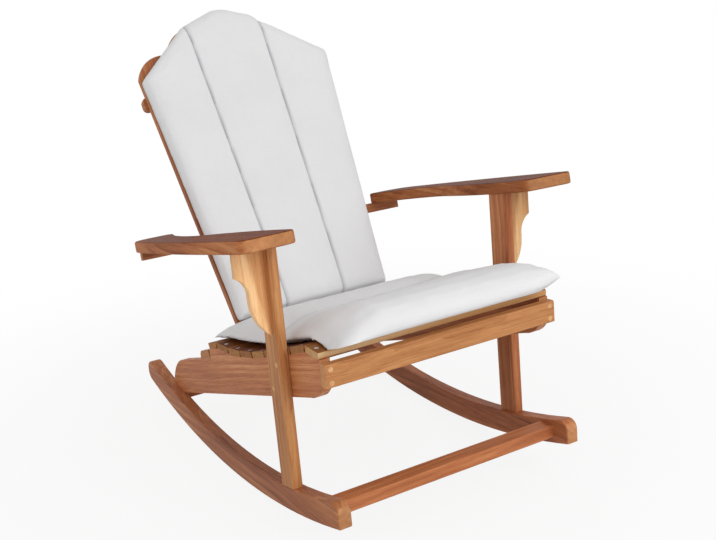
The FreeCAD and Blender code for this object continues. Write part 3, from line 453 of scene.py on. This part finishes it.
def clothFinish(name, tilt, seamShadeShare):   # tilt turns the weave into the cushion's own plane
    material, start = newMaterial(name)
    turn = Matrix.Rotation(math.radians(tilt), 3, "X").to_euler()
    placed = start.add("ShaderNodeMapping", {}, {"Vector": start.coordinate(), "Rotation": turn})
    wander = placed.swayed(placed.stretched(*(cloth["wander"],) * 3).noise(2.0, 0.5, 1),
                           (cloth["wanderReach"],) * 3)
    warp, weft = (start.add("ShaderNodeTexWave", {"wave_type": "BANDS", "bands_direction": direction},
                            {"Vector": wander, "Scale": cloth["waveLength"] / cloth["thread"]}, 1)
                  for direction in ("X", "Y"))
    long, thin = cloth["slubLong"], cloth["slubThin"]
    slubs = (placed.stretched(long, thin, thin).noise(2.0, 0.6)
             + placed.stretched(thin, long, thin).noise(2.0, 0.6))
    clouds = placed.stretched(*(cloth["clouds"],) * 3).noise(3.0, 0.5)
    creases = placed.stretched(*cloth["creases"]).noise(3.0, 0.55)
    seam = start.add("ShaderNodeAttribute", {"attribute_name": "seam"}, {}, "Fac")
    plain = paint(*cloth["colour"])
    tone = clouds * cloth["cloudShare"] + slubs * cloth["slubShare"]
    colour = tone.colours([(0.3, shaded(plain, cloth["cloudShade"])), (0.7, plain)])
    # painted shade: a grey line along each seam stands in for the shadow deep in the sewn channel
    colour = colour.blend(paint(*cloth["seamShadeTone"]), seam * seamShadeShare)
    weave = warp * weft + slubs * cloth["slubRelief"]
    fine = start.bump(weave, cloth["weaveRelief"], cloth["weaveDepth"])
    finishMaterial(start, {
        "Base Color": colour, "Roughness": cloth["roughness"] - weave * cloth["weaveRough"],
        "Normal": start.bump(creases, cloth["creaseRelief"], cloth["creaseDepth"], fine),
        "Specular IOR Level": cloth["gloss"],
        "Sheen Weight": cloth["sheen"], "Sheen Roughness": cloth["sheenRoughness"],
    })
    return material


# Both cushions start as a flat grid, drawn out into a thin closed pad and filled by cloth simulation

filled = {
    "pressure": 4.0, "stiffness": 15, "bending": 0.5, "frames": 20,
    # puckers in the cloth, finer ones near a seam
    "pucker": 28, "finePucker": 60, "fineShare": 0.6, "fineRun": 0.03,
    "seamCut": 0.0004, "seamSharpness": 1.5,
}


def held(share):
    return min(max(share, 0), 1)


def between(points, place):   # reads a line of points at a place on its first number
    for (here, *start), (there, *end) in zip(points, points[1:]):
        if place <= there or there == points[-1][0]:
            share = held((place - here) / (there - here))
            return [a + (b - a) * share for a, b in zip(start, end)]


def roundedEdge(distance, run, roundness=2.0):   # 0 at the edge, 1 from a run inside it
    return (1 - (1 - held(distance / run)) ** roundness) ** (1 / roundness)


def rawPad(name, settings, shape):
    build = bmesh.new()
    bmesh.ops.create_grid(build, x_segments=settings["columns"], y_segments=settings["rows"], size=0.5)
    under = list(build.verts)
    drawn = bmesh.ops.extrude_face_region(build, geom=build.faces[:], use_keep_orig=True)
    over = [item for item in drawn["geom"] if isinstance(item, bmesh.types.BMVert)]
    for verts, side in ((under, 0), (over, 1)):
        for vert in verts:
            vert.co = rollBack @ shape(vert.co.x * 2, vert.co.y + 0.5, side)
    bmesh.ops.recalc_face_normals(build, faces=build.faces)
    mesh = bpy.data.meshes.new(name)
    build.to_mesh(mesh)
    build.free()
    pad = bpy.data.objects.new(name, mesh)
    bpy.context.scene.collection.objects.link(pad)
    return pad


def applied(pad):   # the pad's mesh with its modifiers taken in
    shaped = bpy.data.meshes.new_from_object(pad.evaluated_get(bpy.context.evaluated_depsgraph_get()))
    pad.modifiers.clear()
    pad.data = shaped
    return shaped


def inflate(pad, mesh, cap, keepClear):   # no point moves further than cap
    start = [vert.co.copy() for vert in mesh.vertices]
    filling = pad.modifiers.new("filling", "CLOTH")
    filling.settings.use_pressure = True
    filling.settings.uniform_pressure_force = filled["pressure"]
    filling.settings.effector_weights.gravity = 0
    filling.settings.tension_stiffness = filled["stiffness"]
    filling.settings.compression_stiffness = filled["stiffness"]
    filling.settings.bending_stiffness = filled["bending"]
    filling.point_cache.frame_end = filled["frames"]
    for step in range(1, filled["frames"] + 1):
        bpy.context.scene.frame_set(step)
    swollen = pad.evaluated_get(bpy.context.evaluated_depsgraph_get()).data
    ends = [vert.co.copy() for vert in swollen.vertices]
    pad.modifiers.clear()
    bpy.context.scene.frame_set(1)
    for vert, before, after in zip(mesh.vertices, start, ends):
        move = after - before
        if move.length > cap:
            move *= cap / move.length
        vert.co = keepClear(before + move)


def fillPad(pad, settings, keepClear):
    remesh = pad.modifiers.new("remesh", "REMESH")
    remesh.mode = "VOXEL"
    remesh.voxel_size = settings["voxel"]
    mesh = applied(pad)
    inflate(pad, mesh, settings["cap"], keepClear)
    smooth = pad.modifiers.new("smooth", "SUBSURF")
    smooth.levels = smooth.render_levels = 1
    applied(pad)


def sewChannels(pad, settings, seams, deep):
    build = bmesh.new()
    build.from_mesh(pad.data)
    for place, normal in seams:   # edges right on each seam, so it stays crisp
        bmesh.ops.bisect_plane(build, geom=build.verts[:] + build.edges[:] + build.faces[:],
                               dist=filled["seamCut"], plane_co=place, plane_no=normal)
    mark = build.verts.layers.float.new("seam")
    for vert in build.verts:
        offsets = [(vert.co - place).dot(normal) for place, normal in seams]
        away = min(abs(offset) for offset in offsets)
        # the seam mark says where the grey line of painted shade goes along the channel
        thread = min(abs(offset - settings["shadeLineShift"]) for offset in offsets)
        soft = math.exp(-(away / settings["softWidth"]) ** 2) * settings["softDepth"]
        sharp = max(0, 1 - away / settings["sharpWidth"]) ** filled["seamSharpness"] * settings["sharpDepth"]
        fine = filled["fineShare"] * noise.noise(vert.co * filled["finePucker"])
        pucker = noise.noise(vert.co * filled["pucker"]) + fine * math.exp(-(away / filled["fineRun"]) ** 2)
        vert.co = deep(vert.co, soft + sharp + pucker * settings["ruffle"])
        vert[mark] = max(0, 1 - thread / settings["shadeLineWidth"])
    build.to_mesh(pad.data)
    build.free()
    for face in pad.data.polygons:
        face.use_smooth = True


def finishPad(pad, node, material):
    pad.data.materials.clear()
    pad.data.materials.append(material)
    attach(pad, "root")
    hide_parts(node)


# Seat cushion, over the nose of the front slat and down to the back slats

seatPad = {
    "columns": 46, "rows": 60, "voxel": 0.006, "cap": 0.0045,
    "half": 0.247, "cornerOut": 0.012,   # half width, and how much further the corners reach
    "rim": 0.2, "rimHalf": 0.0025, "bellyRoundness": 1.5,   # the rim's share of the height, from below
    "farRun": 0.022, "nearRun": 0.100, "nearRoundness": 1.25,
    # the fades are how fast a change at the front edge dies away towards the rear
    "frontOut": 0.009, "frontFade": 8, "nearOut": 0.006, "nearFade": 3,
    "farTip": 0.020, "tipFade": 12,
    # the near front corner hangs down over the slat
    "nearDroop": 0.010, "droopFade": 7, "nearRim": 0.03, "nearRimTo": 0.24, "nearRimRun": 0.08,
    # the pad sinks ahead of its seam, but not at its far side
    "sag": 0.013, "sagPlace": 0.43, "sagRun": 0.16,
    "seam": (0.0, -0.120, 0.37), "seamSkew": 0.12, "seamTilt": -0.25,
    "softWidth": 0.024, "softDepth": 0.003, "sharpWidth": 0.008, "sharpDepth": 0.007,
    "shadeLineWidth": 0.008, "shadeLineShift": 0.006, "ruffle": 0.0016,
    "deepAlong": (0, 0.2, 0.98), "deepFrom": 0.012, "deepRun": 0.02,
    "gap": 0.001, "weaveTilt": 15, "seamShadeShare": 0.42, "fill": 0.5,
    # place from front to rear, underside y and z, top y and z
    "line": [(0.00, -0.445, 0.4065, -0.448, 0.4120), (0.025, -0.432, 0.4005, -0.447, 0.4280),
             (0.06, -0.410, 0.3930, -0.429, 0.4420), (0.10, -0.384, 0.3865, -0.392, 0.4470),
             (0.18, -0.332, 0.3875, -0.345, 0.4415), (0.28, -0.270, 0.3700, -0.289, 0.4305),
             (0.38, -0.209, 0.3510, -0.226, 0.4130), (0.48, -0.147, 0.3320, -0.160, 0.3940),
             (0.58, -0.087, 0.3140, -0.100, 0.3715), (0.68, -0.024, 0.3005, -0.037, 0.3630),
             (0.78, 0.038, 0.2915, 0.030, 0.3455), (0.87, 0.095, 0.2880, 0.082, 0.3280),
             (0.93, 0.127, 0.2835, 0.112, 0.3170), (0.975, 0.147, 0.2800, 0.142, 0.3050),
             (1.00, 0.156, 0.2830, 0.158, 0.2880)],
    # y and z of the slats' tops, which the cushion lies on
    "slats": [(-0.50, 0.425), (-0.444, 0.4040), (-0.384, 0.3850), (-0.330, 0.3872), (-0.2665, 0.3650),
              (-0.2055, 0.3458), (-0.1445, 0.3270), (-0.083, 0.3102), (-0.0206, 0.2972), (0.0425, 0.2892),
              (0.1067, 0.2840), (0.20, 0.2650)],
}


def seatShape(u, v, side):   # u from -1 near to 1 far, v from 0 in front to 1 at the rear, side 1 on top
    near, far = max(0, -u), max(0, u)
    underY, underZ, overY, overZ = between(seatPad["line"], v)
    half = seatPad["half"] + seatPad["cornerOut"] * abs(2 * v - 1) ** 3
    x = u * half - seatPad["nearOut"] * near ** 4 * max(0, 1 - v * seatPad["nearFade"])
    sunken = math.exp(-((v - seatPad["sagPlace"]) / seatPad["sagRun"]) ** 2) * (1 - far ** 3)
    overZ -= seatPad["sag"] * sunken
    crown = (roundedEdge(half - x, seatPad["farRun"])
             * roundedEdge(half + x, seatPad["nearRun"], seatPad["nearRoundness"]))
    corner = near ** 4 * held((seatPad["nearRimTo"] - v) / seatPad["nearRimRun"])
    rim = seatPad["rim"] + (seatPad["nearRim"] - seatPad["rim"]) * corner
    rimY = underY + (overY - underY) * rim
    rimZ = underZ + (overZ - underZ) * rim
    if side:
        rimZ += seatPad["rimHalf"]
        y, z = rimY + (overY - rimY) * crown, rimZ + (overZ - rimZ) * crown
    else:
        belly = 1 - (1 - crown) ** seatPad["bellyRoundness"]
        rimZ -= seatPad["rimHalf"]
        y, z = rimY + (underY - rimY) * belly, rimZ + (underZ - rimZ) * belly
    y -= seatPad["frontOut"] * abs(u) ** 4 * max(0, 1 - v * seatPad["frontFade"])
    z -= seatPad["nearDroop"] * near ** 4 * max(0, 1 - v * seatPad["droopFade"])
    z += seatPad["farTip"] * far ** 6 * max(0, 1 - v * seatPad["tipFade"])
    return Vector((x, y, z))


def clearOfSlats(point):
    upright = stand @ point
    upright.z = max(upright.z, between(seatPad["slats"], upright.y)[0] + seatPad["gap"])
    return rollBack @ upright


def seatDeep(point, depth):   # the channel is pressed in from the top, and not below deepFrom over the slats
    upright = stand @ point
    floor = between(seatPad["slats"], upright.y)[0]
    share = held((upright.z - floor - seatPad["deepFrom"]) / seatPad["deepRun"])
    return point - rollBack.to_3x3() @ Vector(seatPad["deepAlong"]) * depth * share


def seatSeam():
    normal = Vector((-seatPad["seamSkew"], 1, seatPad["seamTilt"]))
    return rollBack @ Vector(seatPad["seam"]), (rollBack.to_3x3() @ normal).normalized()


seatCushion = rawPad("seatCushionCover", seatPad, seatShape)
fillPad(seatCushion, seatPad, clearOfSlats)
sewChannels(seatCushion, seatPad, [seatSeam()], seatDeep)
finishPad(seatCushion, "seat_cushion",
          clothFinish("seatCloth", seatPad["weaveTilt"], seatPad["seamShadeShare"]))
print("seat cushion filled:", len(seatCushion.data.polygons), "faces")


# Back cushion, three upright panels that lean on the back slats, with its outline in the slats' plane

backPad = {
    "columns": 46, "rows": 70, "voxel": 0.0066, "cap": 0.006,
    "foot": (0, 0.165, 0.2905), "bottom": 0.000, "firstHeight": 0.4, "rounds": 6,
    "left": (0.197, 0.0795), "right": (0.214, 0.0945),   # half width at the foot, and its growth upwards
    "middle": 0.026, "half": 0.0225, "rimHalf": 0.0025, "gap": 0.001,
    "edgeRun": 0.020, "footRun": 0.012, "topSlope": 0.8,
    # x and height of the top edge
    "top": [(-0.30, 0.573), (-0.2456, 0.623), (-0.104, 0.755), (-0.010, 0.794), (0.018, 0.795),
            (0.095, 0.770), (0.104, 0.759), (0.274, 0.645), (0.31, 0.618)],
    "seams": [((-0.094, 0.745), (-0.067, 0.0)), ((0.1035, 0.735), (0.0845, 0.0))],
    "softWidth": 0.015, "softDepth": 0.004, "sharpWidth": 0.005, "sharpDepth": 0.010,
    "shadeLineWidth": 0.003, "shadeLineShift": 0.0, "ruffle": 0.0008,
    "deepRun": 0.012, "deepBehind": -0.3,
    "weaveTilt": slope["recline"] + rest["lean"] - 90, "seamShadeShare": 0.75, "fill": 0.55,
}
slatPlane = (Matrix.Translation(backPad["foot"])
             @ Matrix.Rotation(-math.radians(slope["recline"]), 4, "X"))
rolledPlane = rollBack @ slatPlane


def backShape(u, v, side):   # u from -1 near to 1 far, v from 0 at the foot to 1 at the top
    height = backPad["firstHeight"]
    for attempt in range(backPad["rounds"]):   # the height and the width there depend on each other
        left = -(backPad["left"][0] + backPad["left"][1] * height)
        right = backPad["right"][0] + backPad["right"][1] * height
        x = left + (right - left) * (u + 1) / 2
        top = between(backPad["top"], x)[0]
        height = backPad["bottom"] + (top - backPad["bottom"]) * v
    run = backPad["edgeRun"]
    crown = (roundedEdge(x - left, run) * roundedEdge(right - x, run)
             * roundedEdge((top - height) * backPad["topSlope"], run)
             * roundedEdge(height - backPad["bottom"], backPad["footRun"]))
    half = backPad["rimHalf"] + (backPad["half"] - backPad["rimHalf"]) * crown
    return slatPlane @ Vector((x, -(backPad["middle"] + (half if side else -half)), height))


def clearOfBack(point):
    local = rolledPlane.inverted() @ point
    local.y = min(local.y, -backPad["gap"])
    return rolledPlane @ local


def backDeep(point, depth):   # the channels are deep in front, and shallow at the back
    local = rolledPlane.inverted() @ point
    share = min(max((-local.y - backPad["middle"]) / backPad["deepRun"], backPad["deepBehind"]), 1)
    local.y += depth * share
    return rolledPlane @ local


def seamPlane(start, end):
    run = Vector((end[0] - start[0], 0, end[1] - start[1])).normalized()
    place = rolledPlane @ Vector((start[0], 0, start[1]))
    return place, (rolledPlane.to_3x3() @ run.cross(back)).normalized()


backCushion = rawPad("backCushionCover", backPad, backShape)
fillPad(backCushion, backPad, clearOfBack)
sewChannels(backCushion, backPad, [seamPlane(*seam) for seam in backPad["seams"]], backDeep)
finishPad(backCushion, "back_cushion",
          clothFinish("backCloth", backPad["weaveTilt"], backPad["seamShadeShare"]))
print("back cushion filled:", len(backCushion.data.polygons), "faces")
